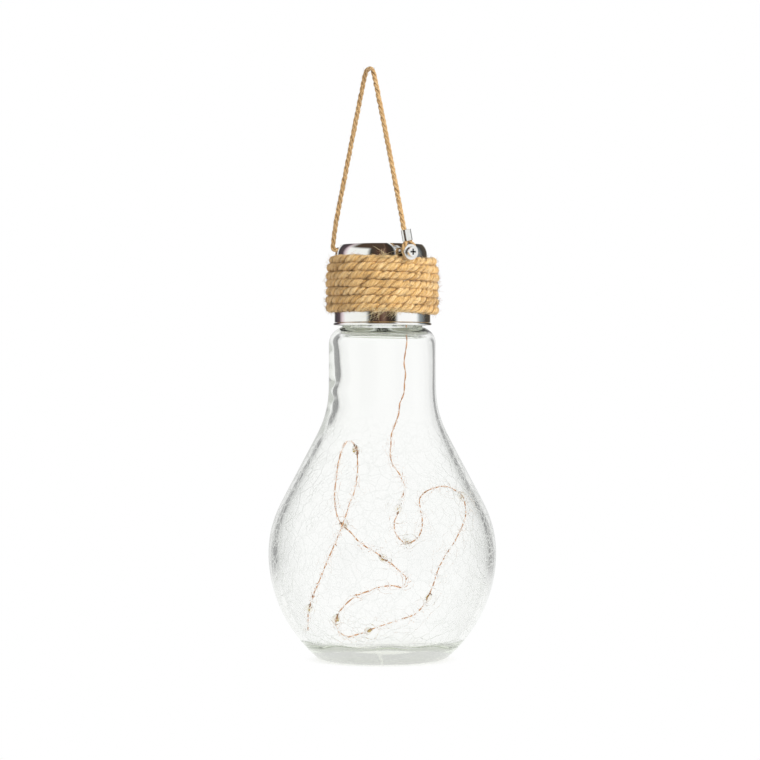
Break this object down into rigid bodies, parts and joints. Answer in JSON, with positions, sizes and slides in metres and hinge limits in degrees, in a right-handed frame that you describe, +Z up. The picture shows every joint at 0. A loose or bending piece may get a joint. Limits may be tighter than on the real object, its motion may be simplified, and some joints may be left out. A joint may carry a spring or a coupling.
{
  "type": "hanging bulb jar light",
  "caption": "Clear crackle-glass jar shaped like a light bulb, with a twine-wrapped metal screw cap, a twine hanging loop and a copper-wire string of small LED drops inside",
  "frame": {"origin": "on the table under the jar's axis, at the middle of the glass foot", "axes": "+Z up along the jar's axis, -Y towards the pictured side, +X to its right"},
  "size_m": [0.098, 0.098, 0.2545],
  "materials": {
    "clear_glass": "gloss",
    "seal_rubber": "matte",
    "liner_plastic": "satin",
    "cap_metal": "gloss",
    "module_plastic": "satin",
    "screw_steel": "satin",
    "foam": "matte",
    "circuit_laminate": "satin",
    "silicon": "gloss",
    "clear_resin": "gloss",
    "cell_sleeve": "gloss",
    "chip_plastic": "matte",
    "switch_steel": "satin",
    "lead_plastic": "gloss",
    "jute": "matte",
    "copper_wire": "gloss",
    "led_phosphor": "satin"
  },
  "bodies": {
    "bottle": {"glass_bulb": "clear_glass"},
    "seal": {"seal_ring": "seal_rubber"},
    "switch": {"switch_slider": "chip_plastic"},
    "hanging_loop": {"hanging_twine": "jute"},
    "cap": {"threaded_liner": "liner_plastic", "cap_shell": "cap_metal", "module_housing": "module_plastic", "module_cover": "module_plastic", "cover_screws": "screw_steel", "panel_foam": "foam", "panel_board": "circuit_laminate", "solar_wafers": "silicon", "panel_resin": "clear_resin", "rechargeable_cell": "cell_sleeve", "cell_tabs": "screw_steel", "circuit_board": "circuit_laminate", "driver_chip": "chip_plastic", "boost_coil": "chip_plastic", "capacitor": "cell_sleeve", "switch_body": "switch_steel", "wire_grommet": "seal_rubber", "panel_leads": "lead_plastic", "cell_leads": "lead_plastic", "twine_wrap": "jute", "loop_screws": "screw_steel", "loop_washers": "screw_steel", "loop_nuts": "screw_steel", "front_twine_eye": "jute", "back_twine_eye": "jute", "crimp_sleeves": "screw_steel", "fairy_wire": "copper_wire", "led_chips": "led_phosphor", "led_drops": "clear_resin"}
  },
  "joints": [
    {"name": "cap_lift", "type": "slide", "parent": "bottle", "child": "seal", "axis": [0, 0, 1], "range_m": [0, 0.003]},
    {"name": "cap_turn", "type": "hinge", "parent": "seal", "child": "cap", "pos_m": [0, 0, 0.157], "axis": [0, 0, 1], "range_deg": [0, 360]},
    {"name": "switch_slide", "type": "slide", "parent": "cap", "child": "switch", "axis": [1, 0, 0], "range_m": [0, 0.002]},
    {"name": "loop_swing", "type": "hinge", "parent": "cap", "child": "hanging_loop", "pos_m": [0.00885, -0.02213, 0.18464], "axis": [-0.6292, 0.7773, 0], "range_deg": [-75, 75]}
  ],
  "couplings": [
    {"joint": "cap_lift", "follows": "cap_turn", "m_per_rad": 0.00047587}
  ]
}
